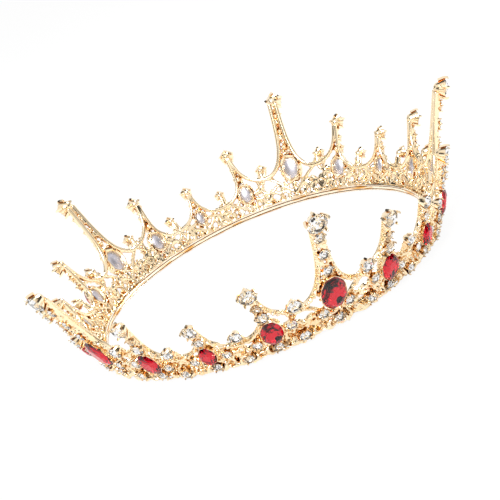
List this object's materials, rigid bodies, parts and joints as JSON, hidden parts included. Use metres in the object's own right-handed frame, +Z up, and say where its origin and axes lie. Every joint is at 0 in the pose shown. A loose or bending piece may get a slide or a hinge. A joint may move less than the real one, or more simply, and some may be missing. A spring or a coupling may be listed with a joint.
{
  "type": "crown",
  "caption": "Rigid baroque hair crown: an openwork gold ring of tall and short spires on a smooth head band, set with oval red stones and round clear ones.",
  "frame": {"origin": "centre of the head band, in the plane of its lower edge", "axes": "+Z up along the head band's axis; -Y towards the tall spire at the front of the head; +X to its right as the crown is looked at from the front, in the sense that a viewer in front sees it on the right"},
  "size_m": [0.1916, 0.19, 0.0519],
  "materials": {
    "band_gold": "polished pale gold plating on a rolled strip",
    "cast_gold": "bright pale gold plating on a cast zinc alloy",
    "red_glass": "faceted ruby red glass",
    "silver_foil": "silvered backing of the red stones",
    "clear_glass": "clear faceted glass with a foiled back"
  },
  "bodies": {
    "root": {"base_band": "band_gold", "casting_1": "cast_gold", "casting_2": "cast_gold", "casting_3": "cast_gold", "casting_4": "cast_gold", "casting_5": "cast_gold", "large_ruby_1": "red_glass", "middle_rubies_1": "red_glass", "small_ruby_1": "red_glass", "ruby_foils_1": "silver_foil", "tip_crystals_1": "clear_glass", "stem_crystals_1": "clear_glass", "valley_crystals_1": "clear_glass", "side_crystals_1": "clear_glass", "foot_crystals_1": "clear_glass", "large_ruby_2": "red_glass", "middle_rubies_2": "red_glass", "small_ruby_2": "red_glass", "ruby_foils_2": "silver_foil", "tip_crystals_2": "clear_glass", "stem_crystals_2": "clear_glass", "valley_crystals_2": "clear_glass", "side_crystals_2": "clear_glass", "foot_crystals_2": "clear_glass", "large_ruby_3": "red_glass", "middle_rubies_3": "red_glass", "small_ruby_3": "red_glass", "ruby_foils_3": "silver_foil", "tip_crystals_3": "clear_glass", "stem_crystals_3": "clear_glass", "valley_crystals_3": "clear_glass", "side_crystals_3": "clear_glass", "foot_crystals_3": "clear_glass", "large_ruby_4": "red_glass", "middle_rubies_4": "red_glass", "small_ruby_4": "red_glass", "ruby_foils_4": "silver_foil", "tip_crystals_4": "clear_glass", "stem_crystals_4": "clear_glass", "valley_crystals_4": "clear_glass", "side_crystals_4": "clear_glass", "foot_crystals_4": "clear_glass", "large_ruby_5": "red_glass", "middle_rubies_5": "red_glass", "small_ruby_5": "red_glass", "ruby_foils_5": "silver_foil", "tip_crystals_5": "clear_glass", "stem_crystals_5": "clear_glass", "valley_crystals_5": "clear_glass", "side_crystals_5": "clear_glass", "foot_crystals_5": "clear_glass"}
  },
  "joints": []
}
